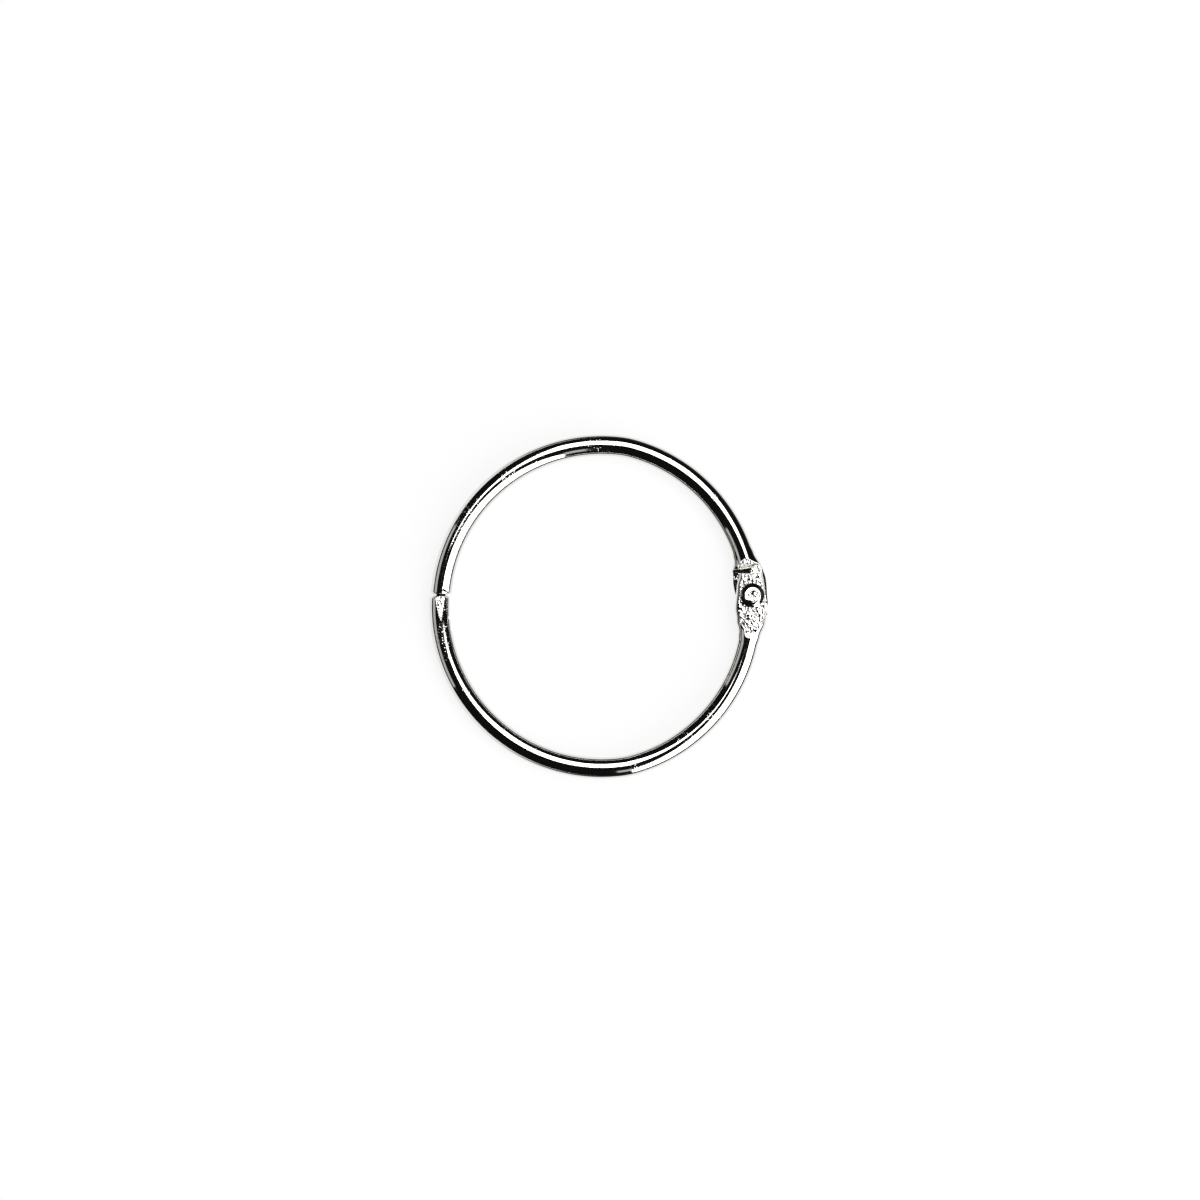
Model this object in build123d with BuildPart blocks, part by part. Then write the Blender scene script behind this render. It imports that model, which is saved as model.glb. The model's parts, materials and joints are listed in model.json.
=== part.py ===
from build123d import *
from math import asin, cos, degrees, hypot, radians, sin, sqrt, tan
import os

# A hinged binder ring lying flat and closed in the XY plane, in millimetres. The origin is the centre of
# the round bow, halfway up the wire. The rivet is on the +X side and the snap closure on the -X side. The
# upper half (+Y) has its hinge plate at the back, the lower half (-Y) has its plate at the front (+Z).

# Bent wire: centreline made of tangent arcs
wire_diameter = 3.6
bow_radius = 27.2
lower_bow_growth = 0.15
bow_end_angle = 82.65
shoulder_bend_radius = 12.0
shoulder_bend_turn = 7.35
flank_radius = 27.2
upper_plate_lean = 8.5
lower_plate_lean = 0.5

# Split line through closure and rivet, and how far outside the upper wire's centreline the rivet sits
split_y = 1.8
rivet_offset = 0.024

# Pressed hinge plates
plate_spread = 1.0
plate_reach = 3.72
plate_tip_taper = 0.65
plate_edge_inset = 0.45
plate_crown = 0.05
plate_widest_depth = 0.72
press_depth = 0.16
press_flat_run = 0.9
plate_gap = 0.04
swing_clearance = 0.4
shoulder_ramp = 1.5
shoulder_bulge = 0.3
tip_round = 0.15

# How the wire swells behind the plate: share of the swell's length, share of the spread, squareness
swell_run = 2.8
swell_stages = (
    (1.0, 0.0, 0.0),
    (0.93, 0.0, 0.0),
    (0.75, 0.15, 0.2),
    (0.5, 0.7, 0.8),
    (0.25, 1.0, 1.0),
)
taper_station = 1.5

# Rivet
shank_diameter = 2.2
shank_running_clearance = 0.05
head_overhang = 0.93
head_height = 1.2
head_dome_radius = 5.2
head_rim_round = 0.73
tail_overhang = 0.65
tail_height = 0.55
tail_edge_chamfer = 0.25
tail_gap = 0.03

# Snap closure
closure_gap = 0.1
upper_end_round = 0.45
lower_end_round = 0.55
mouth_land = 0.05
peg_diameter = 1.6
peg_length = 2.6
bead_proud = 0.12
bead_from_tip = 0.75
bead_length = 1.0
tip_flat_diameter = 0.9
socket_clearance = 0.08
socket_tip_room = 0.5
socket_mouth_chamfer = 0.12
drill_point_angle = 118

# Crimp flats that close the socket's mouth
crimp_face_depth = 0.13
crimp_face_length = 4.8
crimp_side_depth = 0.32
crimp_side_length = 3.3
crimp_nick_depth = 0.25
crimp_nick_run = 0.4
crimp_nick_length = 1.0
crimp_second_depth = 0.1
crimp_second_length = 1.5
crimp_runout = 0.7

wire_radius = wire_diameter / 2
plate_half = wire_radius + plate_spread
tip_half = plate_half - plate_tip_taper
face_level = wire_radius - press_depth
shoulder_start = hypot(plate_reach, tip_half) + swing_clearance
shoulder_top = shoulder_start + shoulder_ramp
swell_length = shoulder_top + swell_run
press_flat_length = shoulder_top + press_flat_run
tip_trim = 1.2
out_of_the_way = 4 * wire_diameter


def round_centreline(level, radius, lean):
    """Wire's centreline from just before the closure, over the top, to the tip of the hinge plate."""
    lead_in = degrees(wire_radius / radius)
    closure_angle = 180 - degrees(asin(level / radius)) + lead_in
    with BuildLine() as centreline:
        bow = CenterArc((0, 0), radius, closure_angle, bow_end_angle - closure_angle)
        bend = JernArc(bow @ 1, bow % 1, shoulder_bend_radius, -shoulder_bend_turn)
        flank_turn = bow_end_angle - shoulder_bend_turn - lean
        flank = JernArc(bend @ 1, bend % 1, flank_radius, -flank_turn)
        straight = ((flank @ 1).Y - level) / cos(radians(lean)) + plate_reach + tip_trim
        Line(flank @ 1, flank @ 1 + straight * (flank % 1))
    return centreline.wire()


def cross_plane(centreline, distance):
    """Plane across the wire at a distance from its start: x points out of the ring, y is up."""
    tangent = centreline.tangent_at(distance, position_mode=PositionMode.LENGTH)
    place = centreline.position_at(distance, position_mode=PositionMode.LENGTH)
    return Plane(place, x_dir=Vector(0, 0, 1).cross(tangent), z_dir=tangent)


def swollen_section(plane, half_width, squareness):
    """Section of the wire as the die spreads it: round at squareness 0, flat-bottomed at 1."""
    octant = wire_radius * cos(radians(45))
    low_x = octant + squareness * (half_width - plate_edge_inset - octant)
    low_y = -octant - squareness * (wire_radius - plate_crown - octant)
    side_y = -squareness * plate_widest_depth
    high_x = octant + squareness * (half_width - wire_radius) / 2
    with BuildSketch(plane) as section:
        with BuildLine():
            ThreePointArc((-low_x, low_y), (0, -wire_radius), (low_x, low_y))
            ThreePointArc((low_x, low_y), (half_width, side_y), (high_x, octant))
            ThreePointArc((high_x, octant), (0, wire_radius), (-high_x, octant))
            ThreePointArc((-high_x, octant), (-half_width, side_y), (-low_x, low_y))
        make_face()
    return section.sketch


def half_ring(level, radius, lean, end_round):
    """A half ring over the top of the XY plane, with its hinge plate pressed to the underside."""
    centreline = round_centreline(level, radius, lean)
    rivet_distance = centreline.length - plate_reach - tip_trim
    round_end = rivet_distance - swell_length
    sections = [
        swollen_section(
            cross_plane(centreline, rivet_distance - share * swell_length),
            wire_radius + spread_share * plate_spread,
            squareness,
        )
        for share, spread_share, squareness in swell_stages
    ]
    for beyond in (taper_station, plate_reach + tip_trim):
        half_width = plate_half - plate_tip_taper * beyond / plate_reach
        sections.append(swollen_section(cross_plane(centreline, rivet_distance + beyond), half_width, 1.0))
    shoulder_plane = cross_plane(centreline, rivet_distance - shoulder_start)
    press_plane = Plane((hinge_x, level, 0), x_dir=-shoulder_plane.z_dir, z_dir=shoulder_plane.x_dir)

    with BuildPart() as half:
        with BuildSketch(cross_plane(centreline, 0)):
            Circle(wire_radius)
        sweep(path=centreline.trim(0, round_end / centreline.length))
        split(bisect_by=Plane.XZ.offset(-level - closure_gap / 2), keep=Keep.BOTTOM)
        closure_face = half.faces().filter_by(Axis.Y).sort_by(Axis.Y)[0]
        fillet(closure_face.edges(), end_round)

        loft(sections=sections)

        # the upper die leaves the mid-plane face and the sloping shoulder behind it
        with BuildSketch(press_plane):
            with BuildLine():
                SagittaArc((shoulder_start, -plate_gap / 2), (shoulder_top, wire_radius), shoulder_bulge)
                Polyline(
                    (shoulder_top, wire_radius),
                    (shoulder_top, out_of_the_way),
                    (-out_of_the_way, out_of_the_way),
                    (-out_of_the_way, -plate_gap / 2),
                    (shoulder_start, -plate_gap / 2),
                )
            make_face()
        extrude(amount=out_of_the_way, both=True, mode=Mode.SUBTRACT)

        # the lower die leaves the outer flat, and the tip is sheared off square
        with BuildSketch(press_plane):
            with Locations((press_flat_length, -face_level)):
                Rectangle(out_of_the_way, out_of_the_way, align=(Align.MAX, Align.MAX))
        extrude(amount=out_of_the_way, both=True, mode=Mode.SUBTRACT)
        with BuildSketch(press_plane):
            with Locations((-plate_reach, 0)):
                Rectangle(out_of_the_way, out_of_the_way, align=(Align.MAX, Align.CENTER))
        extrude(amount=out_of_the_way, both=True, mode=Mode.SUBTRACT)
        tip_middle = press_plane.from_local_coords((-plate_reach, -face_level / 2, 0))
        fillet(half.faces().sort_by_distance(tip_middle)[0].edges(), tip_round)
    return half.part


# The rivet stands where the upper wire crosses the split line
upper_centreline = round_centreline(split_y, bow_radius, upper_plate_lean)
rivet_share = 1 - (plate_reach + tip_trim) / upper_centreline.length
hinge_x = (upper_centreline @ rivet_share).X + rivet_offset

# Upper half: hinge plate at the back, running hole for the rivet, turned peg with a bead
peg_radius = peg_diameter / 2
bead_radius = peg_radius + bead_proud
socket_radius = bead_radius + socket_clearance
upper_blank = half_ring(split_y, bow_radius, upper_plate_lean, upper_end_round)
closure_x = -sqrt(bow_radius**2 - split_y**2)
peg_root = split_y + closure_gap / 2 + upper_end_round
peg_end = split_y - peg_length
bead_y = peg_end + bead_from_tip
neck_y = bead_y + bead_length / 2
peg_axis = Axis((closure_x, 0, 0), (0, 1, 0))

with BuildPart() as upper_half:
    add(upper_blank)
    with Locations((hinge_x, split_y, 0)):
        Hole(shank_diameter / 2 + shank_running_clearance)
    with BuildSketch(Plane((closure_x, 0, 0))):
        with BuildLine():
            Polyline(
                (peg_radius, neck_y),
                (peg_radius, peg_root),
                (0, peg_root),
                (0, peg_end),
                (tip_flat_diameter / 2, peg_end),
            )
            TangentArc((bead_radius, bead_y), (tip_flat_diameter / 2, peg_end), tangent=(0, -1))
            TangentArc((bead_radius, bead_y), (peg_radius, neck_y), tangent=(0, 1))
        make_face()
    revolve(axis=peg_axis)

# Lower half: the same blank turned over, riveted plate at the front, drilled and crimped socket
lower_radius = bow_radius + lower_bow_growth
mouth_radius = socket_radius + socket_mouth_chamfer
mouth_round = min(lower_end_round, wire_radius - mouth_radius - mouth_land)
lower_blank = half_ring(-split_y, lower_radius, lower_plate_lean, mouth_round)
mouth_y = split_y - closure_gap / 2
socket_floor = peg_end - socket_tip_room
drill_point = socket_radius / tan(radians(drill_point_angle / 2))
side_flat_x = closure_x + wire_radius - crimp_side_depth
nick_y = mouth_y - crimp_side_length
second_y = nick_y - crimp_nick_length
second_x = side_flat_x + crimp_side_depth - crimp_second_depth

with BuildPart() as lower_half:
    add(lower_blank, rotation=(180, 0, 0))
    with Locations((hinge_x, split_y, 0)):
        Hole(shank_diameter / 2)
    with BuildSketch(Plane((closure_x, 0, 0))):
        with BuildLine():
            Polyline(
                (0, mouth_y + wire_radius),
                (mouth_radius, mouth_y + wire_radius),
                (mouth_radius, mouth_y),
                (socket_radius, mouth_y - socket_mouth_chamfer),
                (socket_radius, socket_floor),
                (0, socket_floor - drill_point),
                close=True,
            )
        make_face()
    revolve(axis=peg_axis, mode=Mode.SUBTRACT)

    # jaw marks on the front and back of the mouth, running out along the wire
    with BuildSketch(Plane.YZ.offset(closure_x)):
        with BuildLine():
            Polyline(
                (mouth_y, wire_radius - crimp_face_depth),
                (mouth_y - crimp_face_length, wire_radius),
                (mouth_y - crimp_face_length, out_of_the_way),
                (mouth_y, out_of_the_way),
                close=True,
            )
        make_face()
        mirror(about=Plane.XZ)
    extrude(amount=out_of_the_way, both=True, mode=Mode.SUBTRACT)

    # two flats and the nick between them, squeezed into the side that faces into the ring
    with BuildSketch(Plane.XY):
        with BuildLine():
            Polyline(
                (side_flat_x, mouth_y),
                (side_flat_x, nick_y),
                (side_flat_x - crimp_nick_depth, nick_y - crimp_nick_run),
                (second_x + crimp_second_depth, second_y),
                (second_x, second_y - crimp_second_length),
                (second_x + crimp_runout, second_y - crimp_second_length - crimp_runout),
                (side_flat_x + wire_radius, second_y - crimp_second_length - crimp_runout),
                (side_flat_x + wire_radius, mouth_y),
                close=True,
            )
        make_face()
    extrude(amount=out_of_the_way, both=True, mode=Mode.SUBTRACT)

# Rivet: head at the front with a low dome and a rounded rim, shank through both plates, tail at the back
shank_radius = shank_diameter / 2
head_radius = shank_radius + head_overhang
head_top = face_level + head_height
rim_x = head_radius - head_rim_round
dome_centre = head_top - head_dome_radius
rim_angle = asin(rim_x / (head_dome_radius - head_rim_round))
rim_level = dome_centre + (head_dome_radius - head_rim_round) * cos(rim_angle)
rim_top = (head_dome_radius * sin(rim_angle), dome_centre + head_dome_radius * cos(rim_angle))
tail_radius = shank_radius + tail_overhang
tail_seat = -face_level - tail_gap
tail_bottom = tail_seat - tail_height
rivet_plane = Plane((hinge_x, split_y, 0), x_dir=(1, 0, 0), z_dir=(0, -1, 0))

with BuildPart() as rivet:
    with BuildSketch(rivet_plane):
        with BuildLine():
            RadiusArc((0, head_top), rim_top, head_dome_radius)
            RadiusArc(rim_top, (head_radius, rim_level), head_rim_round)
            Polyline(
                (head_radius, rim_level),
                (head_radius, face_level),
                (shank_radius, face_level),
                (shank_radius, tail_seat),
                (tail_radius, tail_seat),
                (tail_radius, tail_bottom + tail_edge_chamfer),
                (tail_radius - tail_edge_chamfer, tail_bottom),
                (0, tail_bottom),
                (0, head_top),
            )
        make_face()
    revolve(axis=Axis((hinge_x, split_y, 0), (0, 0, 1)))

upper_half.part.label = "upper_half"
lower_half.part.label = "lower_half"
rivet.part.label = "rivet"

os.makedirs("parts", exist_ok=True)
export_step(upper_half.part, "parts/upper_half.step")
export_step(lower_half.part, "parts/lower_half.step")
export_step(rivet.part, "parts/rivet.step")
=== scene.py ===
import json
import math

import bpy
import numpy as np
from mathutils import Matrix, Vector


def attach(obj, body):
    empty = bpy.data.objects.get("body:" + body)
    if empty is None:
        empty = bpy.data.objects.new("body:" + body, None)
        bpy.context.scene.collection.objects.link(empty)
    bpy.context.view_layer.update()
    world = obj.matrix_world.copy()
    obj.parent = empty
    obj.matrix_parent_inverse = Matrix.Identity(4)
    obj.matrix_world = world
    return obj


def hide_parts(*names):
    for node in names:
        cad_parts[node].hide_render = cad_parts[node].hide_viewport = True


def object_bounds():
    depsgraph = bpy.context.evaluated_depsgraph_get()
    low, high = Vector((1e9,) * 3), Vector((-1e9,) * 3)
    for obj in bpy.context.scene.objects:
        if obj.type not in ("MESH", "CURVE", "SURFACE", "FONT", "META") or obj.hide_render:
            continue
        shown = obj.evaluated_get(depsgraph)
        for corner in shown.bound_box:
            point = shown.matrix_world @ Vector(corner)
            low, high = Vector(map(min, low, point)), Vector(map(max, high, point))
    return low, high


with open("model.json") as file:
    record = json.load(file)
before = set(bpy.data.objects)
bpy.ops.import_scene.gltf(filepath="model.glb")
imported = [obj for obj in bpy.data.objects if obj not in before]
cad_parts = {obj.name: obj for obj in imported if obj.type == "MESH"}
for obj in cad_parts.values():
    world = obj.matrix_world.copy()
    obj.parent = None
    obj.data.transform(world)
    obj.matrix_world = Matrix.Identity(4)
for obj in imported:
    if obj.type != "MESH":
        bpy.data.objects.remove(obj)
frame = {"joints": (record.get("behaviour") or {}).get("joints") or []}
cad_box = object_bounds()

# Sizes are in millimetres, as on the wire's own drawing, and become metres where a mesh is made.
MM = 0.001

# The bent wire: a round bow, a short tighter bend, a flank and a straight run through the rivet
WIRE_RADIUS = 1.8
BOW_RADIUS = 27.2
LOWER_BOW_GROWTH = 0.15
BOW_END_ANGLE = 82.65
BEND_RADIUS = 12.0
BEND_TURN = 7.35
FLANK_RADIUS = 27.2
UPPER_LEAN = 8.5
LOWER_LEAN = 0.5
UPPER_END_GAP = 0.2
LOWER_END_GAP = 0.05

# Table of the wire's line: how far it starts before the closure, where it ends, and its step
LEAD_IN = 10.0
TABLE_END = 130.0
TABLE_STEP = 0.005

# The swollen hinge end, tip first: how far behind the rivet, its half width, and how flat-bottomed it is
SWELL_LENGTH = 9.0
PLATE_HALF = 2.8
PLATE_REACH = 3.72
SWELL_PROFILE = (
    (-PLATE_REACH, 2.15, 1.0),
    (-0.4 * PLATE_REACH, 2.54, 1.0),
    (0.25 * SWELL_LENGTH, PLATE_HALF, 1.0),
    (0.5 * SWELL_LENGTH, 2.5, 0.8),
    (0.75 * SWELL_LENGTH, 1.95, 0.2),
    (0.93 * SWELL_LENGTH, WIRE_RADIUS, 0.0),
    (SWELL_LENGTH, WIRE_RADIUS, 0.0),
)

# Its flat-bottomed section: how far in the lower corners stand, how high they are, and where it is widest
EDGE_INSET = 0.45
INNER_EDGE_INSET = 0.5
CORNER_LIFT = 0.048
WIDEST_DROP = 0.72

# The share that the lower plate is narrower on its outer side, and where behind the rivet that comes in
OUTER_EDGE_CUT = 0.14
OUTER_CUT_FADE = (3.7, 2.6)

# The outer die: its depth and flat, and the run-out with a small corner where the round wire starts
PRESS_DEPTH = 0.16
PRESS_FLAT_LENGTH = 7.1
PRESS_RUNOUT = 0.6
PRESS_STEP = 0.3
PRESS_CORNER = 0.84

# The inner die: the gap between the plates, and the shoulder's ramp with its ripples
PLATE_GAP = 0.04
SHOULDER_START = 4.7
SHOULDER_RAMP = 1.5
SHOULDER_BULGE = 0.3
RAMP_RIPPLE = 0.035
RAMP_RIPPLES = 3

# Edges of the plates: the upper one's bevel, the lower one's rolled inner edge, and the sheared tip
EDGE_BEVEL_RUN = 0.38
EDGE_BEVEL = 0.6
ROLLED_EDGE_RUN = 0.3
ROLLED_EDGE = 0.35
ROLLED_EDGE_FADE = (0.0, 1.5)
TIP_ROUND = 0.15

# Stamped grain of the pressed faces: two sizes of it, how it thins out, and how little the left side has
GRAIN_DEPTH = 0.16
GRAIN_CELL = 0.27
GRAIN_STRETCH = 1.5
GRAIN_FINENESS = 1.7
GRAIN_FINE_SHARE = 0.38
GRAIN_RANGE = (0.1875, 0.8125)
GRAIN_LEFT = 0.04
GRAIN_SIDE_FADE = (-0.36, 0.84)
GRAIN_RAMP_FADE = (SHOULDER_START, SHOULDER_START + 0.5)
GRAIN_EDGE_FADE = (2.4, 2.1)
GRAIN_END_FADE = (6.5, 6.2)
GRAIN_ROLLED_FADE = (0.25, 0.0)

# The snap closure
UPPER_END_ROUND = 0.45
LOWER_END_ROUND = 0.55
PEG_RADIUS = 0.8
PEG_LENGTH = 2.6
BEAD_RADIUS = 0.92
BEAD_FROM_TIP = 0.75
BEAD_LENGTH = 1.0
PEG_FLAT_RADIUS = 0.45
SOCKET_RADIUS = 1.0
SOCKET_TIP_ROOM = 0.5
SOCKET_CHAMFER = 0.12
DRILL_POINT_RISE = 0.6

# The jaw marks round the socket's mouth: the wedge on the crown, and the depth of the side's flats and nick
# at each distance from the closure face
CRIMP_FACE_DEPTH = 0.19
CRIMP_FACE_LENGTH = 4.27
CRIMP_FACE_LEAN = 0.12
CRIMP_SIDE_PROFILE = (
    (0.0, 0.32), (3.3, 0.32), (3.7, 0.57), (4.3, 0.0), (4.32, 0.1), (5.8, 0.1), (6.5, -0.7),
)
JAW_DEPTH = 0.2
JAW_CELL = 0.32
JAW_SLANT = 0.4
JAW_RANGE = (0.375, 0.6875)
JAW_LENGTH_FADE = (2.6, 1.4)
JAW_SIDE_FADE = (0.35, -0.05)
JAW_DULLNESS = 0.35

# A slanting dent in the upper half's closure end, as the photograph shows it
NICK_START = (-26.5, 2.9)
NICK_END = (-25.5, 2.25)
NICK_HALF_WIDTH = 0.3
NICK_DEPTH = 0.2

# The rivet
SHANK_RADIUS = 1.1
HEAD_RADIUS = 2.03
HEAD_HEIGHT = 1.2
DOME_RADIUS = 5.2
RIM_ROUND = 0.73
RIM_LEAN = 42
CORNER_BREAK = 0.02
TAIL_RADIUS = 1.75
TAIL_HEIGHT = 0.55
TAIL_CHAMFER = 0.25
TAIL_GAP = 0.03

# The flat that the hammer left on the head, a little turned to the top of the picture, with a skirt round it
HAMMERED_DROP = 0.12
HAMMERED_SLOPE = 0.06
HAMMERED_WIDE_RADIUS = 7.5
HAMMERED_HIGH_RADIUS = 60.0
HAMMERED_EDGE = 1.36
HAMMERED_SKIRT = 0.8

# Its dents: a few random ones about the middle, and three grooves, from the rivet's centre
RIVET_DENT_DEPTH = 0.1
RIVET_DENT_CELL = 0.34
RIVET_DENT_RANGE = (0.27273, 0.72727)
RIVET_DENT_MIDDLE = (0.2, -0.2)
RIVET_DENT_FADE = (1.13333, 0.46667)
RIVET_GROOVES = (
    ((-0.35, 0.25), (0.45, -0.3)), ((1.2, 0.3), (0.85, -0.45)), ((0.85, -0.45), (0.1, -0.95)),
)
RIVET_GROOVE_HALF_WIDTH = 0.2
RIVET_GROOVE_DEPTH = 0.13

# Each random pattern's own seed
GRAIN_SEED, FINE_GRAIN_SEED, JAW_SEED, RIVET_SEED = 3, 4, 12, 21

# Grid: faces round the wire, the spacing of its rows where it is plain, marked and pressed, how far the
# marked rows reach, how far rows turn from the closure face's level, and the rows in each small form
AROUND = 176
PLAIN_STEP = 0.5
MARKED_STEP = 0.08
PRESSED_STEP = 0.07
CLOSURE_REACH = 7.0
SQUARED_REACH = 5.0
END_ROUND_ROWS = 9
END_FACE_ROWS = 5
TIP_ROUND_ROWS = 6
PEG_ROUND_ROWS = 13
PEG_NECK_ROWS = 11
PEG_SHAFT_ROWS = 4
SOCKET_ROWS = 6
DOME_ROWS = 33
RIM_ROWS = 9
HEAD_EDGE_ROWS = 5

# The plated finish: its colours, how dull it is, the fineness of its patterns, and the bump that each gives
WIRE_COLOUR = (0.80, 0.785, 0.76)
RIVET_COLOUR = (0.82, 0.81, 0.79)
SHADED = 0.86
SHADED_SHARE = 0.35
DULLNESS = 0.04
STAMPED_DULLNESS = 0.07
PATTERN_DULLNESS = 0.03
LINES_ALONG = (400, 9000, 1)
LINE_HEIGHT = 0.06
WAVES = 350.0
WAVE_HEIGHT = 0.45
DUST = 6000.0
DUST_HEIGHT = 0.15
PITS = 2600.0
PIT_EDGE = (0.35, 0.05)
PIT_DEPTH = 0.8
WORN_PATCHES = 180.0
WORN_EDGE = (0.5, 0.62)
BUMP_HEIGHT = 0.00002

# The camera looks straight down, so the photograph's frame is this wide at the wire's own level, in metres
CAMERA_HEIGHT = 0.45
FRAME_WIDTH = 0.2028
SENSOR = 36.0
FRAME_CENTRE = (-0.00025, 0.00103)

# Soft lamps, in metres: name, centre, facing, size, and brightness as a shade seen in a mirror, 1 being white
QUARTER_TURN = math.pi / 2
PANEL_LIGHT = 3.6
DIM_PANEL_LIGHT = 0.5
PANELS = (
    ("overhead_panel", (0.282, 0.63, 1.2), (0, 0, 0), (1.164, 1.06), PANEL_LIGHT),
    ("right_panel", (0.60, -1.225, 1.005), (0, QUARTER_TURN, 0), (1.89, 2.35), PANEL_LIGHT),
    ("end_panel", (0.26, -1.5, 1.45), (QUARTER_TURN, 0, 0), (0.22, 1.2), DIM_PANEL_LIGHT),
    ("left_panel", (-0.60, 0.0, 0.36), (0, -QUARTER_TURN, 0), (0.38, 0.66), DIM_PANEL_LIGHT),
)
ROOM_LIGHT = 0.006

# The sheet under the ring: how far from the wire the metal still sees it white, how far and how dark the
# painted shade is that the metal sees in it past that, and where at the left that painted shade fades out again
FLOOR_HALF = 3.0
WHITE_REACH = 8.0
# painted shade: past this reach the metal sees the sheet as a dark grey glow, in place of light that falls off
PAINTED_SHADE_REACH = 12.0
PAINTED_SHADE_GREY_LEVEL = 0.03
MATT_SHEET = 0.95
PAINTED_SHADE_LEFT_FADE_START = 18.0
PAINTED_SHADE_LEFT_FADE_END = 28.0
SHEET_GLOW = 0.85

hinge_x, split_y = (1000 * value for value in frame["joints"][0]["pos_m"][:2])
face_level = WIRE_RADIUS - PRESS_DEPTH


def smooth_step(value, start=0.0, stop=1.0):
    """Goes from 0 to 1 with level ends as the value goes from start to stop: 3s^2 - 2s^3 of its share s."""
    share = np.clip((value - start) / (stop - start), 0, 1)
    return share * share * (3 - 2 * share)


def smooth_through(value, places, levels):
    """A smooth curve through a few levels: between two places it rises or falls by the smooth step."""
    result = np.full_like(value, levels[0], dtype=float)
    for near, far, low, high in zip(places, places[1:], levels, levels[1:]):
        result += (high - low) * smooth_step(value, near, far)
    return result


def spaced(start, stop, step):
    """Evenly spaced numbers from start to stop, no further apart than the step."""
    return np.linspace(start, stop, int(math.ceil(abs(stop - start) / step)) + 1)


def lattice_noise(u, v, seed):
    """Smooth random field from 0 to 1: random heights on a unit lattice, blended between its corners."""
    heights = np.random.default_rng(seed).random((256, 256))
    low_u, low_v = np.floor(u).astype(int), np.floor(v).astype(int)
    blend_u, blend_v = smooth_step(u - low_u), smooth_step(v - low_v)
    corner = [heights[(low_u + i) % 256, (low_v + j) % 256] for i in (0, 1) for j in (0, 1)]
    near = corner[0] * (1 - blend_v) + corner[1] * blend_v
    far = corner[2] * (1 - blend_v) + corner[3] * blend_v
    return near * (1 - blend_u) + far * blend_u


def groove(x, y, start, stop, half_width):
    """A groove along a line, 1 at its middle: it falls by the smooth step with the distance from the line."""
    start, stop = np.array(start), np.array(stop)
    run = stop - start
    offset = np.stack((x, y), -1) - start
    share = np.clip((offset @ run) / (run @ run), 0, 1)
    return smooth_step(np.linalg.norm(offset - share[..., None] * run, axis=-1), half_width, 0.0)


def three_point_arc(start, middle, end, count):
    """Points on the circle through three points, from start to just before end, one arc for each row.

    The centre is where the two chords' middle lines cross, and the angle runs evenly from start to end."""
    a, b = middle - start, end - start
    a_square, b_square = (a * a).sum(1), (b * b).sum(1)
    across = np.stack((b[:, 1] * a_square - a[:, 1] * b_square, a[:, 0] * b_square - b[:, 0] * a_square), 1)
    to_centre = across / (2 * (a[:, 0] * b[:, 1] - a[:, 1] * b[:, 0]))[:, None]
    centre = start + to_centre
    radius = np.hypot(to_centre[:, 0], to_centre[:, 1])[:, None]
    first = np.arctan2(-to_centre[:, 1], -to_centre[:, 0])
    last = np.arctan2(end[:, 1] - centre[:, 1], end[:, 0] - centre[:, 0])
    sweep = (last - first) % (2 * math.pi)
    angle = first[:, None] + sweep[:, None] * (np.arange(count) / count)[None, :]
    return centre[:, :1] + radius * np.cos(angle), centre[:, 1:] + radius * np.sin(angle)


def die_section(half_width, squareness, inner_inset):
    """Section of the wire at each row, across and up: round at squareness 0, flat-bottomed at 1.

    Four arcs join the lower corners, the widest points and the upper corners, as the die leaves them."""
    octant = WIRE_RADIUS * math.cos(math.radians(45))
    low_x = octant + squareness * (half_width - EDGE_INSET - octant)
    inner_x = octant + squareness * (half_width - inner_inset - octant)
    low_y = -octant - squareness * (WIRE_RADIUS - CORNER_LIFT - octant)
    side_y = -squareness * WIDEST_DROP
    high_x = octant + squareness * (half_width - WIRE_RADIUS) / 2
    high_y = np.full_like(high_x, octant)
    zero, top = np.zeros_like(high_x), np.full_like(high_x, WIRE_RADIUS)
    corners = [
        np.stack(pair, 1)
        for pair in (
            (-inner_x, low_y), (zero, -top), (low_x, low_y), (half_width, side_y), (high_x, high_y),
            (zero, top), (-high_x, high_y), (-half_width, side_y), (-inner_x, low_y),
        )
    ]
    arcs = [three_point_arc(*corners[i:i + 3], AROUND // 4) for i in (0, 2, 4, 6)]
    return np.hstack([arc[0] for arc in arcs]), np.hstack([arc[1] for arc in arcs])


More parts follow.
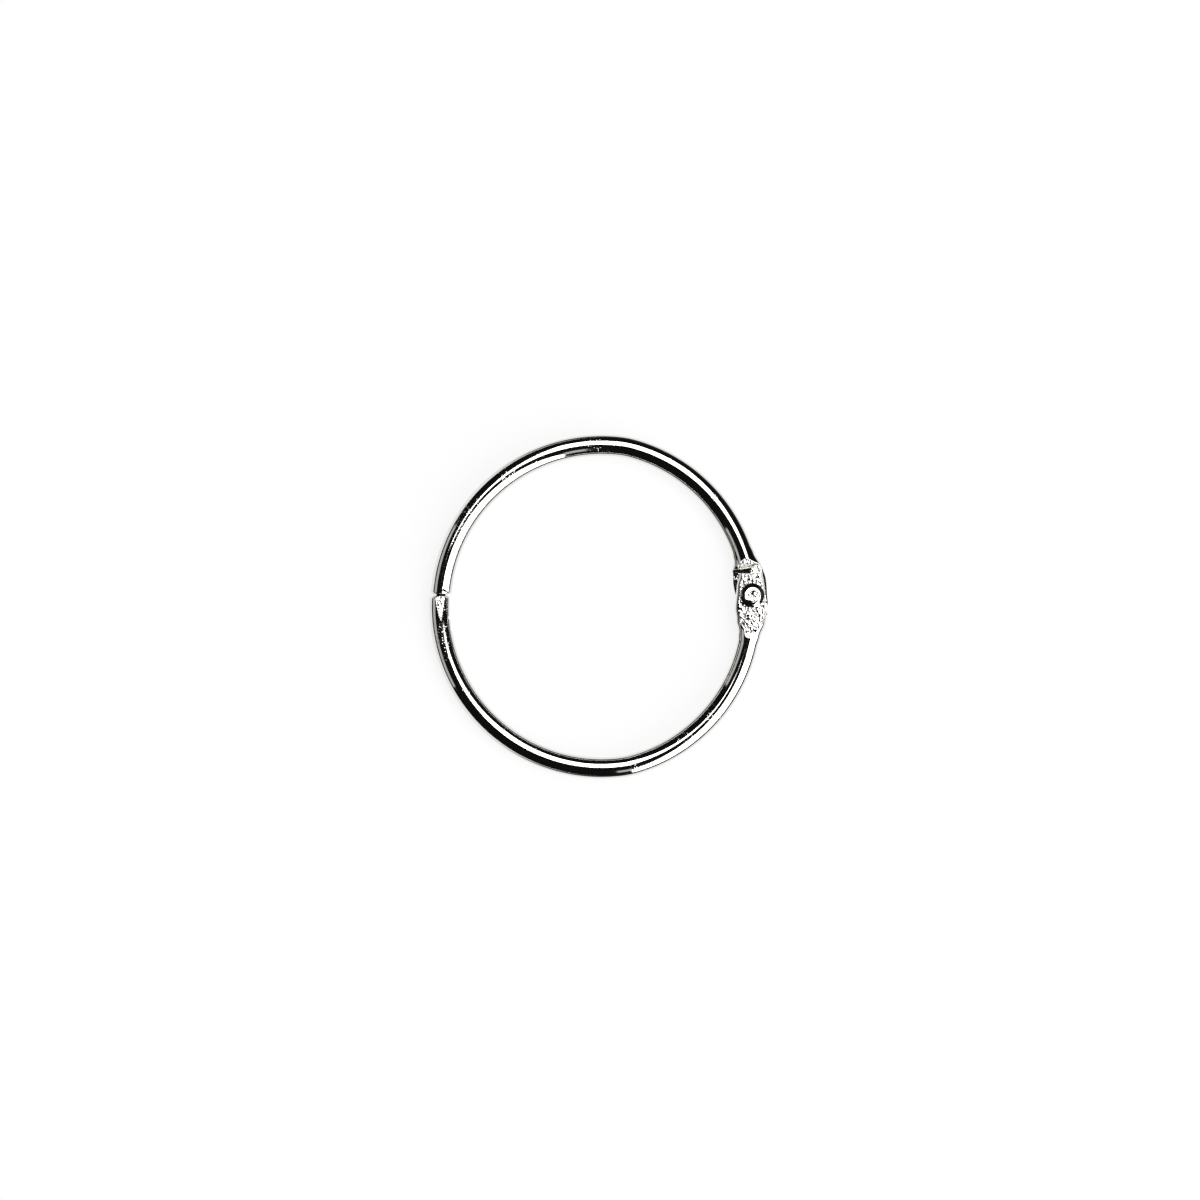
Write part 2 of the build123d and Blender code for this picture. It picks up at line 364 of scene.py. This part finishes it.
class Centreline:
    """The wire's own line in the plane of the ring, from the closure to the tip of the hinge plate.

    Its heading turns evenly along each arc, and its place is the running sum of its heading."""

    def __init__(self, level, radius, lean, end_gap):
        self.level, self.radius, self.lean = level, radius, math.radians(lean)
        self.end_y = level + end_gap
        self.start_angle = math.pi - math.asin(self.end_y / radius)
        bow_end, bend_turn = math.radians(BOW_END_ANGLE), math.radians(BEND_TURN)
        turns = (self.start_angle - bow_end, bend_turn, bow_end - bend_turn - self.lean)
        lengths = (radius * turns[0], BEND_RADIUS * turns[1], FLANK_RADIUS * turns[2])
        knots = np.concatenate(((-LEAD_IN,), np.cumsum((0.0,) + lengths)))
        headings = self.start_angle - math.pi / 2 - np.cumsum((0.0,) + turns)
        headings = np.concatenate(((headings[0] + LEAD_IN / radius,), headings))
        self.table = np.arange(-LEAD_IN, TABLE_END, TABLE_STEP)
        self.heading = np.interp(self.table, knots, headings)
        middle = (self.heading[1:] + self.heading[:-1]) / 2
        self.x = np.concatenate(((0,), np.cumsum(np.cos(middle)) * TABLE_STEP))
        self.y = np.concatenate(((0,), np.cumsum(np.sin(middle)) * TABLE_STEP))
        self.x += radius * math.cos(self.start_angle) - np.interp(0, self.table, self.x)
        self.y += radius * math.sin(self.start_angle) - np.interp(0, self.table, self.y)
        flank_end = sum(lengths)
        drop = np.interp(flank_end, self.table, self.y) - level
        self.rivet = flank_end + drop / math.cos(self.lean)

    def places(self, distance, across):
        """X and Y of points that stand across the line, outwards, at each distance along it."""
        turn = np.interp(distance, self.table, self.heading)
        x = np.interp(distance, self.table, self.x) - across * np.sin(turn)
        y = np.interp(distance, self.table, self.y) + across * np.cos(turn)
        return x, y


def row_stations(line, end_round, mouth_step):
    """How far along the wire each row is, and how much it shrinks within the closure's end round.

    In the round the rows follow a quarter circle: r(1 - sin a) along the wire and r(1 - cos a) inwards."""
    quarter = np.linspace(math.pi / 2, 0, END_ROUND_ROWS)
    swell = line.rivet - SWELL_LENGTH
    station = np.concatenate((
        end_round * (1 - np.sin(quarter)),
        spaced(end_round, CLOSURE_REACH, mouth_step)[1:],
        spaced(CLOSURE_REACH, swell, PLAIN_STEP)[1:],
        spaced(swell, line.rivet + PLATE_REACH, PRESSED_STEP)[1:],
    ))
    shrink = np.zeros(len(station))
    shrink[:END_ROUND_ROWS] = end_round * (1 - np.cos(quarter))
    return station, shrink


def row_sections(line, station, shrink, turned):
    """Each row's section, across and up, and its half width: swollen at the hinge, shrunk in the end round."""
    behind = line.rivet - station
    places, widths, squares = zip(*SWELL_PROFILE)
    half_width = smooth_through(behind, places, widths)
    squareness = smooth_through(behind, places, squares)
    across, up = die_section(half_width, squareness, INNER_EDGE_INSET if turned else EDGE_INSET)
    if turned:
        cut = OUTER_EDGE_CUT * smooth_step(behind, *OUTER_CUT_FADE)[:, None]
        across = np.where(across > 0, across * (1 - cut), across)
    scale = (1 - shrink / WIRE_RADIUS)[:, None]
    return across * scale, up * scale, half_width[:, None]


def row_distances(line, station, across):
    """How far along the wire each point is: level with the closure face near it, square to the wire past it."""
    row_y = line.radius * np.sin(line.start_angle - station / line.radius)
    row_y[:END_ROUND_ROWS] = line.end_y + station[:END_ROUND_ROWS]
    level_angle = math.pi - np.arcsin(np.clip(row_y[:, None] / (line.radius + across), -1, 1))
    level_station = line.radius * (line.start_angle - level_angle)
    station = station[:, None]
    squared = smooth_step(station, 0, SQUARED_REACH)
    return np.where(station < SQUARED_REACH, (1 - squared) * level_station + squared * station, station)


def shoulder_level(back):
    """Height of the upper die's face behind the rivet: the mid-plane, then an arc that bulges up to the crown.

    The arc passes through the foot and the top of the shoulder, its bulge above the straight line between."""
    run, rise = SHOULDER_RAMP, WIRE_RADIUS + PLATE_GAP / 2
    chord = math.hypot(run, rise)
    radius = (chord**2 / 4 + SHOULDER_BULGE**2) / (2 * SHOULDER_BULGE)
    drop = radius - SHOULDER_BULGE
    centre_back = SHOULDER_START + run / 2 + drop * rise / chord
    centre_up = -PLATE_GAP / 2 + rise / 2 - drop * run / chord
    held = np.clip(back, SHOULDER_START, SHOULDER_START + run)
    arc = centre_up + np.sqrt(np.maximum(radius**2 - (held - centre_back)**2, 0))
    return np.where(back < SHOULDER_START, -PLATE_GAP / 2, arc)


def ramp_ripples(back):
    """Depth of the ripples across the ramp: a few whole waves of a cosine from its foot to its top."""
    share = np.clip(back - SHOULDER_START, 0, SHOULDER_RAMP) / SHOULDER_RAMP
    return RAMP_RIPPLE * (0.5 - 0.5 * np.cos(2 * math.pi * RAMP_RIPPLES * share))


def stamped_grain(x, back):
    """Depth of the die's rough grain: two layers of smooth random lattice, drawn out along the plate."""
    u, v = x / GRAIN_CELL, back / (GRAIN_CELL * GRAIN_STRETCH)
    coarse = lattice_noise(u, v, GRAIN_SEED)
    fine = lattice_noise(GRAIN_FINENESS * u + 40, GRAIN_FINENESS * v, FINE_GRAIN_SEED)
    return GRAIN_DEPTH * smooth_step((1 - GRAIN_FINE_SHARE) * coarse + GRAIN_FINE_SHARE * fine, *GRAIN_RANGE)


def wire_rows(line, end_round, mouth_step, turned):
    """Rows of the half ring's outside, closure end first: points, how stamped they are, and how far along.

    Each row is a section of the wire. Near the closure the rows turn level with the closure face, and within
    the end round each shrinks by the round's own quarter circle. At the hinge the section swells to the die's
    form, and the two dies then hold every point between the mid-plane or its ramp and the outer flat."""
    station, shrink = row_stations(line, end_round, mouth_step)
    across, up, half_width = row_sections(line, station, shrink, turned)
    distance = row_distances(line, station, across)
    x, y = line.places(distance, across)

    # the dies: how far behind the rivet a point is, square to the press's own face
    back = (y - line.level) * math.cos(line.lean) - (x - hinge_x) * math.sin(line.lean)
    pressed = (x > 0) & (back < SWELL_LENGTH)
    ceiling = np.where(pressed, shoulder_level(back) - ramp_ripples(back), WIRE_RADIUS)
    ground = np.interp(
        back,
        (PRESS_FLAT_LENGTH - PRESS_RUNOUT, PRESS_FLAT_LENGTH - PRESS_STEP, PRESS_FLAT_LENGTH),
        (-face_level, -PRESS_CORNER * face_level - (1 - PRESS_CORNER) * WIRE_RADIUS, -WIRE_RADIUS),
    )
    # the lower plate's inner edge rolls over, and the upper plate's outer corner is bevelled
    plain_edge = 1.0
    if turned:
        rolled = np.clip(-across - (half_width - INNER_EDGE_INSET - ROLLED_EDGE_RUN), 0, ROLLED_EDGE_RUN)
        ground = ground + ROLLED_EDGE * rolled * smooth_step(back, *ROLLED_EDGE_FADE)
        plain_edge = smooth_step(rolled, *GRAIN_ROLLED_FADE)
    else:
        bevel = np.clip(across - (half_width - EDGE_BEVEL_RUN), 0, EDGE_BEVEL_RUN)
        ceiling = ceiling - EDGE_BEVEL * bevel * (back < SHOULDER_START)
    ground = np.where(pressed, ground, -WIRE_RADIUS)

    # the grain of the inner face and of the outer flat
    rough_inner = GRAIN_LEFT + (1 - GRAIN_LEFT) * smooth_step(x - hinge_x, *GRAIN_SIDE_FADE)
    rough_inner = np.minimum(rough_inner + smooth_step(back, *GRAIN_RAMP_FADE), 1)
    rough_inner = rough_inner * smooth_step(np.abs(across), *GRAIN_EDGE_FADE) * (up > ceiling) * pressed
    rough_outer = smooth_step(back, *GRAIN_END_FADE) * plain_edge * (up < ground) * pressed
    z = np.clip(up, ground, ceiling) + stamped_grain(x, back) * (rough_outer - rough_inner)
    return np.stack((x, y, z), 2), rough_inner + rough_outer, distance[:, 0]


def round_rows(radii, levels, axis_x):
    """Rows of a turned form about an upright line in the ring's plane: each row is a circle at its level."""
    angle = math.radians(-135) + 2 * math.pi * np.arange(AROUND) / AROUND
    radii, levels = np.asarray(radii, float)[:, None], np.asarray(levels, float)[:, None]
    x = axis_x - radii * np.cos(angle)
    return np.stack((x, np.broadcast_to(levels, x.shape), radii * np.sin(angle)), 2)


def face_rows(outer, inner, count):
    """Flat rows between two loops, evenly spaced, without the loops themselves."""
    share = (np.arange(1, count) / count)[:, None, None]
    return outer[None] * (1 - share) + inner[None] * share


def tip_rows(last, outward):
    """The sheared tip: a small quarter round along the last section's edge, then flat to its middle."""
    centre = last.mean(0)
    away = last - centre
    length = np.linalg.norm(away, axis=1)[:, None]
    rows = []
    for angle in np.linspace(0, math.pi / 2, TIP_ROUND_ROWS)[1:]:
        inset, advance = TIP_ROUND * (1 - math.cos(angle)), TIP_ROUND * (math.sin(angle) - 1)
        rows.append(centre + away * (1 - inset / length) + advance * outward)
    edge = rows[-1] - centre
    return np.array(rows + [centre + edge * share for share in (0.75, 0.5, 0.25)])


def peg_rows(line):
    """The turned peg from its tip: flat, up the bead's curve, along the neck to the closure face."""
    axis_x = -math.sqrt(line.radius**2 - split_y**2)
    tip_y = split_y - PEG_LENGTH
    bead_y = tip_y + BEAD_FROM_TIP
    neck_y = bead_y + BEAD_LENGTH / 2
    rise = np.linspace(0, math.pi / 2, PEG_ROUND_ROWS)
    fall = np.linspace(0, 1, PEG_NECK_ROWS)[1:]
    shaft = np.linspace(neck_y, line.end_y, PEG_SHAFT_ROWS)[1:]
    radii = np.concatenate((
        (0.5 * PEG_FLAT_RADIUS,),
        PEG_FLAT_RADIUS + (BEAD_RADIUS - PEG_FLAT_RADIUS) * np.sin(rise),
        BEAD_RADIUS + (PEG_RADIUS - BEAD_RADIUS) * smooth_step(fall),
        np.full(len(shaft), PEG_RADIUS),
    ))
    levels = np.concatenate((
        (tip_y,),
        tip_y + BEAD_FROM_TIP * (1 - np.cos(rise)),
        bead_y + fall * (neck_y - bead_y),
        shaft,
    ))
    return round_rows(radii, levels, axis_x)


def socket_rows(line):
    """The drilled socket from the bottom of its point: the drill's cone, the bore and the mouth's chamfer.

    The lower half is drawn turned over, so its socket runs up from the closure face."""
    axis_x = -math.sqrt(BOW_RADIUS**2 - split_y**2)
    floor_y = PEG_LENGTH + SOCKET_TIP_ROOM - split_y
    bore = np.linspace(floor_y, line.end_y + SOCKET_CHAMFER, SOCKET_ROWS)
    radii = (0.5 * SOCKET_RADIUS,) + (SOCKET_RADIUS,) * len(bore) + (SOCKET_RADIUS + SOCKET_CHAMFER,)
    levels = np.concatenate(((floor_y + 0.5 * DRILL_POINT_RISE,), bore, (line.end_y,)))
    return round_rows(radii, levels, axis_x)


def jaw_marks(points, stamped, line):
    """Presses the closing jaws' marks into the rows round the socket's mouth.

    Front and back, a wedge that runs out along the wire holds down the wire's crown, with ragged bites at its
    left. On the side that faces into the ring, two flats with a nick between them hold the wire's side back."""
    x, y, z = points[..., 0], points[..., 1], points[..., 2]
    past = y - line.end_y
    mouth = (x < 0) & (past < CLOSURE_REACH) & (past >= 0)
    axis_x = -math.sqrt(BOW_RADIUS**2 - split_y**2)
    crown = np.interp(past, (0, CRIMP_FACE_LENGTH), (WIRE_RADIUS - CRIMP_FACE_DEPTH, WIRE_RADIUS))
    crown = crown - CRIMP_FACE_LEAN * (x - axis_x) * (past < CRIMP_FACE_LENGTH)
    over = mouth & (np.abs(z) > crown) & (past < CRIMP_FACE_LENGTH)
    ragged = lattice_noise((x + JAW_SLANT * y) / JAW_CELL, (y - JAW_SLANT * x) / JAW_CELL, JAW_SEED)
    bitten = JAW_DEPTH * smooth_step(ragged, *JAW_RANGE) * smooth_step(past, *JAW_LENGTH_FADE)
    bitten = bitten * smooth_step(x - axis_x, *JAW_SIDE_FADE)
    z = np.where(over, np.sign(z) * (crown - bitten), z)
    reach, depth = zip(*CRIMP_SIDE_PROFILE)
    wall = axis_x + WIRE_RADIUS - np.interp(past, reach, depth)
    flat = mouth & (x > wall)
    x = np.where(flat, wall, x)
    return np.stack((x, y, z), 2), np.maximum(stamped, JAW_DULLNESS * (over | flat))


def end_nick(points):
    """A slanting dent across the front of the closure end."""
    x, y, z = points[..., 0], points[..., 1], points[..., 2]
    z = z - NICK_DEPTH * groove(x, y, NICK_START, NICK_END, NICK_HALF_WIDTH) * (z > 0)
    return np.stack((x, y, z), 2)


def closed_mesh(name, points, along, stamped, centres, turned):
    """A closed surface from rows of loops: quads between the rows, and a fan to a middle point at each end.

    Each loop joins its own first point, the ends are closed, and the pattern map runs along and round."""
    rows, count = points.shape[:2]
    flat = np.concatenate((points.reshape(-1, 3), centres)) * MM
    if turned:
        flat = flat * (1, -1, -1)
    i, j = np.meshgrid(np.arange(rows - 1), np.arange(count), indexing="ij")
    k = (j + 1) % count
    quads = np.stack((i * count + j, i * count + k, (i + 1) * count + k, (i + 1) * count + j), -1)
    j = np.arange(count)
    k = (j + 1) % count
    first, last = rows * count, rows * count + 1
    caps = np.concatenate((
        np.stack((np.full(count, first), k, j), 1),
        np.stack((np.full(count, last), (rows - 1) * count + j, (rows - 1) * count + k), 1),
    ))
    mesh = bpy.data.meshes.new(name)
    mesh.vertices.add(len(flat))
    mesh.vertices.foreach_set("co", flat.astype(np.float32).ravel())
    corners = np.concatenate((quads.ravel(), caps.ravel()))
    sizes = np.concatenate((np.full(quads.size // 4, 4), np.full(len(caps), 3)))
    mesh.loops.add(len(corners))
    mesh.loops.foreach_set("vertex_index", corners.astype(np.int32))
    mesh.polygons.add(len(sizes))
    mesh.polygons.foreach_set("loop_start", (np.cumsum(sizes) - sizes).astype(np.int32))
    mesh.polygons.foreach_set("use_smooth", np.ones(len(sizes), bool))
    mesh.update(calc_edges=True)

    around = np.arange(count + 1) / count * 2 * math.pi * WIRE_RADIUS * MM
    along = along * MM
    turn = np.broadcast_to(np.arange(count), (rows - 1, count))
    near, far = (np.broadcast_to(part[:, None], turn.shape) for part in (along[:-1], along[1:]))
    u = np.stack((near, near, far, far), -1).ravel()
    v = np.stack((around[turn], around[turn + 1], around[turn + 1], around[turn]), -1).ravel()
    u = np.concatenate((u, np.repeat((along[0], along[-1]), caps.size // 2)))
    v = np.concatenate((v, np.zeros(caps.size)))
    layer = mesh.uv_layers.new(name="along_wire")
    layer.data.foreach_set("uv", np.stack((u, v), 1).astype(np.float32).ravel())
    value = mesh.attributes.new("stamped", "FLOAT", "POINT")
    value.data.foreach_set("value", np.concatenate((stamped.ravel(), (0, 0))).astype(np.float32))
    piece = bpy.data.objects.new(name, mesh)
    bpy.context.scene.collection.objects.link(piece)
    return piece


def half_ring(name, level, radius, lean, end_round, mouth_step, end_rows, turned):
    """One bent wire as a closed surface: its closure end, its whole length and its pressed hinge end."""
    line = Centreline(level, radius, lean, LOWER_END_GAP if turned else UPPER_END_GAP)
    points, stamped, distance = wire_rows(line, end_round, mouth_step, turned)
    if turned:
        points, stamped = jaw_marks(points, stamped, line)
    else:
        points = end_nick(points)
    end = end_rows(line)
    face = face_rows(end[-1], points[0], END_FACE_ROWS)
    outward = np.array((math.sin(line.lean), -math.cos(line.lean), 0))
    tip = tip_rows(points[-1], outward)
    rows = np.concatenate((end, face, points[:-1], tip))
    start = len(end) + len(face)
    stop = start + len(points) - 1
    mask = np.zeros(rows.shape[:2])
    mask[start:stop] = stamped[:-1]
    along = np.zeros(len(rows))
    along[start:stop] = distance[:-1]
    along[stop:] = distance[-1]
    centres = np.array((end[0].mean(0), tip[-1].mean(0)))
    if turned:
        centres[0, 1] += 0.5 * DRILL_POINT_RISE
    return closed_mesh(name, rows, along, mask, centres, turned)


def rivet_piece(name):
    """The rivet as a turned form: domed head, rounded rim, cone, land, shank and chamfered tail.

    The hammer's flat, with its skirt, holds the head down, and random dents and grooves are sunk into it."""
    head_top = face_level + HEAD_HEIGHT
    inner = DOME_RADIUS - RIM_ROUND
    rim_x = HEAD_RADIUS - RIM_ROUND
    rim_angle = math.asin(rim_x / inner)
    dome_centre = head_top - DOME_RADIUS
    rim_centre = dome_centre + inner * math.cos(rim_angle)
    dome = np.linspace(0, rim_angle, DOME_ROWS)[1:]
    rim = np.linspace(rim_angle, math.radians(RIM_LEAN), RIM_ROWS)[1:]
    rim_end = rim_x + RIM_ROUND * math.sin(rim[-1])
    cone = np.linspace(rim_end, HEAD_RADIUS, HEAD_EDGE_ROWS)[1:-1]
    cone = np.append(cone, (HEAD_RADIUS - CORNER_BREAK, HEAD_RADIUS))
    cone_levels = rim_centre + RIM_ROUND * math.cos(rim[-1]) - (cone - rim_end) * math.tan(rim[-1])
    land = np.linspace(cone_levels[-1] - CORNER_BREAK, face_level, HEAD_EDGE_ROWS)
    seat = -face_level - TAIL_GAP
    bottom = seat - TAIL_HEIGHT
    shank_and_tail = (
        (0.5 * (HEAD_RADIUS + SHANK_RADIUS), face_level), (SHANK_RADIUS, face_level), (SHANK_RADIUS, seat),
        (0.5 * (SHANK_RADIUS + TAIL_RADIUS), seat), (TAIL_RADIUS, seat), (TAIL_RADIUS, bottom + TAIL_CHAMFER),
        (TAIL_RADIUS - TAIL_CHAMFER, bottom), (0.5 * TAIL_RADIUS, bottom),
    )
    radii, levels = np.concatenate((
        np.stack((DOME_RADIUS * np.sin(dome), dome_centre + DOME_RADIUS * np.cos(dome)), 1),
        np.stack((rim_x + RIM_ROUND * np.sin(rim), rim_centre + RIM_ROUND * np.cos(rim)), 1),
        np.stack((cone, cone_levels), 1),
        np.stack((np.full(len(land), HEAD_RADIUS), land), 1),
        shank_and_tail,
    )).T[:, :, None]
    angle = 2 * math.pi * np.arange(AROUND) / AROUND
    right, up = radii * np.cos(angle), radii * np.sin(angle)

    hammered = head_top - HAMMERED_DROP - HAMMERED_SLOPE * up
    hammered = hammered - right**2 / (2 * HAMMERED_WIDE_RADIUS) - up**2 / (2 * HAMMERED_HIGH_RADIUS)
    hammered = hammered - HAMMERED_SKIRT * np.maximum(radii - HAMMERED_EDGE, 0)
    dents = lattice_noise(right / RIVET_DENT_CELL + 7, up / RIVET_DENT_CELL + 3, RIVET_SEED)
    from_middle = np.hypot(right - RIVET_DENT_MIDDLE[0], up - RIVET_DENT_MIDDLE[1])
    dents = smooth_step(dents, *RIVET_DENT_RANGE) * smooth_step(from_middle, *RIVET_DENT_FADE)
    grooves = np.max([groove(right, up, *ends, RIVET_GROOVE_HALF_WIDTH) for ends in RIVET_GROOVES], 0)
    sunk = RIVET_DENT_DEPTH * dents + RIVET_GROOVE_DEPTH * grooves
    z = np.minimum(levels, hammered) - sunk * (levels > face_level)
    points = np.stack((hinge_x + right, split_y + up, z), 2)[::-1]
    centres = np.array(((hinge_x, split_y, bottom), (hinge_x, split_y, points[-1, :, 2].mean())))
    return closed_mesh(name, points, levels[::-1, 0], np.zeros(z.shape), centres, False)


class Shade:
    """A value of a material's node tree, so that sums and products on it add their own nodes."""

    def __init__(self, nodes, socket):
        self.nodes, self.socket = nodes, socket

    def _math(self, operation, first, second):
        return self.nodes.shade("ShaderNodeMath", {"operation": operation}, {0: first, 1: second})

    def __add__(self, other):
        return self._math("ADD", self, other)

    def __radd__(self, other):
        return self._math("ADD", other, self)

    def __sub__(self, other):
        return self._math("SUBTRACT", self, other)

    def __rsub__(self, other):
        return self._math("SUBTRACT", other, self)

    def __mul__(self, other):
        return self._math("MULTIPLY", self, other)

    def __rmul__(self, other):
        return self._math("MULTIPLY", other, self)


class Nodes:
    """The nodes of a material or a world, with one method that adds any of them."""

    def __init__(self, owner):
        owner.use_nodes = True
        self.owner, self.tree = owner, owner.node_tree
        self.tree.nodes.clear()

    def add(self, kind, settings, inputs):
        """Adds a node, sets it, and gives its sockets their values or links."""
        node = self.tree.nodes.new(kind)
        for key, value in settings.items():
            setattr(node, key, value)
        for key, value in inputs.items():
            if isinstance(value, Shade):
                self.tree.links.new(value.socket, node.inputs[key])
            else:
                node.inputs[key].default_value = value
        return node

    def shade(self, kind, settings, inputs, output=0):
        """Adds a node and returns one of its outputs as a value."""
        return Shade(self, self.add(kind, settings, inputs).outputs[output])

    def between(self, value, start, stop):
        """Goes from 0 to 1 by the smooth step as the value goes from start to stop."""
        return self.shade("ShaderNodeMapRange", {"interpolation_type": "SMOOTHSTEP"}, {
            "Value": value, "From Min": start, "From Max": stop, "To Min": 0.0, "To Max": 1.0,
        })

    def noise(self, place, scale, detail):
        """A cloud of noise at a place, from 0 to 1."""
        return self.shade("ShaderNodeTexNoise", {}, {"Vector": place, "Scale": scale, "Detail": detail}, "Fac")

    def mixed(self, factor, first, second):
        """The first shader at factor 0 and the second at 1."""
        return self.shade("ShaderNodeMixShader", {}, {0: factor, 1: first, 2: second})


def plated_finish(name, colour):
    """Bright nickel plate: slight waves, lines drawn along the wire, small pits, and dull stamped faces."""
    nodes = Nodes(bpy.data.materials.new(name))
    place = nodes.shade("ShaderNodeTexCoord", {}, {}, "Object")
    run = nodes.shade("ShaderNodeUVMap", {"uv_map": "along_wire"}, {})
    stamped = nodes.shade("ShaderNodeAttribute", {"attribute_name": "stamped"}, {}, "Fac")
    drawn_out = nodes.shade("ShaderNodeMapping", {}, {"Vector": run, "Scale": LINES_ALONG})
    lines = nodes.noise(drawn_out, 1.0, 3.0)
    waves = nodes.noise(place, WAVES, 1.0)
    dust = nodes.noise(place, DUST, 3.0)
    pit = nodes.shade("ShaderNodeTexVoronoi", {}, {"Vector": place, "Scale": PITS}, "Distance")
    patch = nodes.noise(place, WORN_PATCHES, 2.0)
    hollow = nodes.between(pit, *PIT_EDGE)
    worn = nodes.between(patch, *WORN_EDGE)
    height = WAVE_HEIGHT * waves + LINE_HEIGHT * lines - PIT_DEPTH * hollow * worn
    height = height + stamped * dust * DUST_HEIGHT
    bump = nodes.shade("ShaderNodeBump", {}, {
        "Height": height, "Distance": BUMP_HEIGHT, "Strength": 1.0,
    }, "Normal")
    dull = DULLNESS + PATTERN_DULLNESS * lines + PATTERN_DULLNESS * worn
    dull = dull + (STAMPED_DULLNESS - DULLNESS) * stamped
    tint = nodes.shade("ShaderNodeMix", {"data_type": "RGBA"}, {
        "Factor": SHADED_SHARE * patch, "A": (*colour, 1), "B": (*(SHADED * part for part in colour), 1),
    }, 2)
    surface = nodes.shade("ShaderNodeBsdfPrincipled", {}, {
        "Base Color": tint, "Metallic": 1.0, "Roughness": dull, "Normal": bump,
    })
    nodes.add("ShaderNodeOutputMaterial", {}, {"Surface": surface})
    return nodes.owner


def neutral(level):
    """A colour without a hue, as bright as the level."""
    return level, level, level, 1.0


def sheet_finish():
    """A white sheet that keeps a soft shadow. The lens sees it nearly white, and so does the metal close by.

    Further from the wire the metal sees painted shade there: the sheet glows dark grey to it, in place of light
    falling off, except at the far left, where that painted shade fades out and the metal sees the white sheet
    again."""
    nodes = Nodes(bpy.data.materials.new("white_sheet_painted_shade"))
    camera = nodes.shade("ShaderNodeLightPath", {}, {}, "Is Camera Ray")
    glossy = nodes.shade("ShaderNodeLightPath", {}, {}, "Is Glossy Ray")
    place = nodes.shade("ShaderNodeTexCoord", {}, {}, "Object")
    reach = nodes.shade("ShaderNodeVectorMath", {"operation": "LENGTH"}, {0: place}, "Value")
    away = nodes.shade("ShaderNodeMath", {"operation": "ABSOLUTE"}, {0: reach - BOW_RADIUS * MM})
    side = nodes.shade("ShaderNodeSeparateXYZ", {}, {0: place}, "X")
    # painted shade in the metal's view of the sheet: full past the reach from the wire, fading out towards the
    # far left
    dim = nodes.between(away, WHITE_REACH * MM, PAINTED_SHADE_REACH * MM)
    dim = dim * nodes.between(side, -PAINTED_SHADE_LEFT_FADE_END * MM, -PAINTED_SHADE_LEFT_FADE_START * MM)
    matt = nodes.shade("ShaderNodeBsdfDiffuse", {}, {"Color": neutral(MATT_SHEET)})
    white = nodes.shade("ShaderNodeEmission", {}, {"Color": neutral(1.0), "Strength": 1.0})
    # the painted shade itself: a dark grey glow that the metal sees instead of the white sheet
    painted_shade_grey = nodes.shade("ShaderNodeEmission", {}, {"Color": neutral(PAINTED_SHADE_GREY_LEVEL), "Strength": 1.0})
    mirrored = nodes.mixed(glossy, matt, nodes.mixed(dim, white, painted_shade_grey))
    nodes.add("ShaderNodeOutputMaterial", {}, {"Surface": nodes.mixed(SHEET_GLOW * camera, mirrored, white)})
    return nodes.owner


def stage_floor():
    """A wide flat sheet at the level that the ring lies on."""
    half, low = FLOOR_HALF, cad_box[0][2]
    corners = [(-half, -half, low), (half, -half, low), (half, half, low), (-half, half, low)]
    mesh = bpy.data.meshes.new("floor")
    mesh.from_pydata(corners, [], [(0, 1, 2, 3)])
    floor = bpy.data.objects.new("floor", mesh)
    floor.data.materials.append(sheet_finish())
    bpy.context.scene.collection.objects.link(floor)


def panel(name, centre, facing, size, brightness):
    """A soft lamp: a flat panel at a place, facing a direction, as wide and high as its size."""
    lamp = bpy.data.lights.new(name, "AREA")
    lamp.shape = "RECTANGLE"
    lamp.size, lamp.size_y = size
    lamp.energy = brightness * math.pi * size[0] * size[1]
    holder = bpy.data.objects.new(name, lamp)
    holder.location = centre
    holder.rotation_euler = facing
    holder.visible_camera = False
    bpy.context.scene.collection.objects.link(holder)


def studio():
    """Bright panels overhead and at the right, dim ones at the near end and the left, and a dark room."""
    for lamp in PANELS:
        panel(*lamp)
    world = bpy.data.worlds.new("room")
    bpy.context.scene.world = world
    nodes = Nodes(world)
    camera = nodes.shade("ShaderNodeLightPath", {}, {}, "Is Camera Ray")
    dark = nodes.shade("ShaderNodeBackground", {}, {"Color": neutral(ROOM_LIGHT)})
    white = nodes.shade("ShaderNodeBackground", {}, {"Color": neutral(1.0)})
    nodes.add("ShaderNodeOutputWorld", {}, {"Surface": nodes.mixed(camera, dark, white)})


def photo_camera():
    """A camera straight above the ring, whose frame at the wire's level is the photograph's."""
    lens = bpy.data.cameras.new("camera")
    lens.sensor_width = SENSOR
    lens.lens = SENSOR * CAMERA_HEIGHT / FRAME_WIDTH
    camera = bpy.data.objects.new("camera", lens)
    camera.location = (*FRAME_CENTRE, CAMERA_HEIGHT)
    bpy.context.scene.collection.objects.link(camera)
    bpy.context.scene.camera = camera


wire_nickel = plated_finish("wire_nickel", WIRE_COLOUR)
rivet_nickel = plated_finish("rivet_nickel", RIVET_COLOUR)

upper = half_ring(
    "upper_half_wire", split_y, BOW_RADIUS, UPPER_LEAN, UPPER_END_ROUND, 2 * MARKED_STEP, peg_rows, False,
)
lower = half_ring(
    "lower_half_wire", -split_y, BOW_RADIUS + LOWER_BOW_GROWTH, LOWER_LEAN, LOWER_END_ROUND, MARKED_STEP,
    socket_rows, True,
)
rivet = rivet_piece("hinge_rivet")
for piece, body, node, slot, material in (
    (upper, "upper", "upper_half", "plated_wire", wire_nickel),
    (lower, "lower", "lower_half", "plated_wire", wire_nickel),
    (rivet, "lower", "rivet", "plated_rivet", rivet_nickel),
):
    piece.data.materials.append(material)
    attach(piece, body)
    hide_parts(node)

stage_floor()
studio()
photo_camera()
bpy.context.scene.view_settings.view_transform = "Standard"
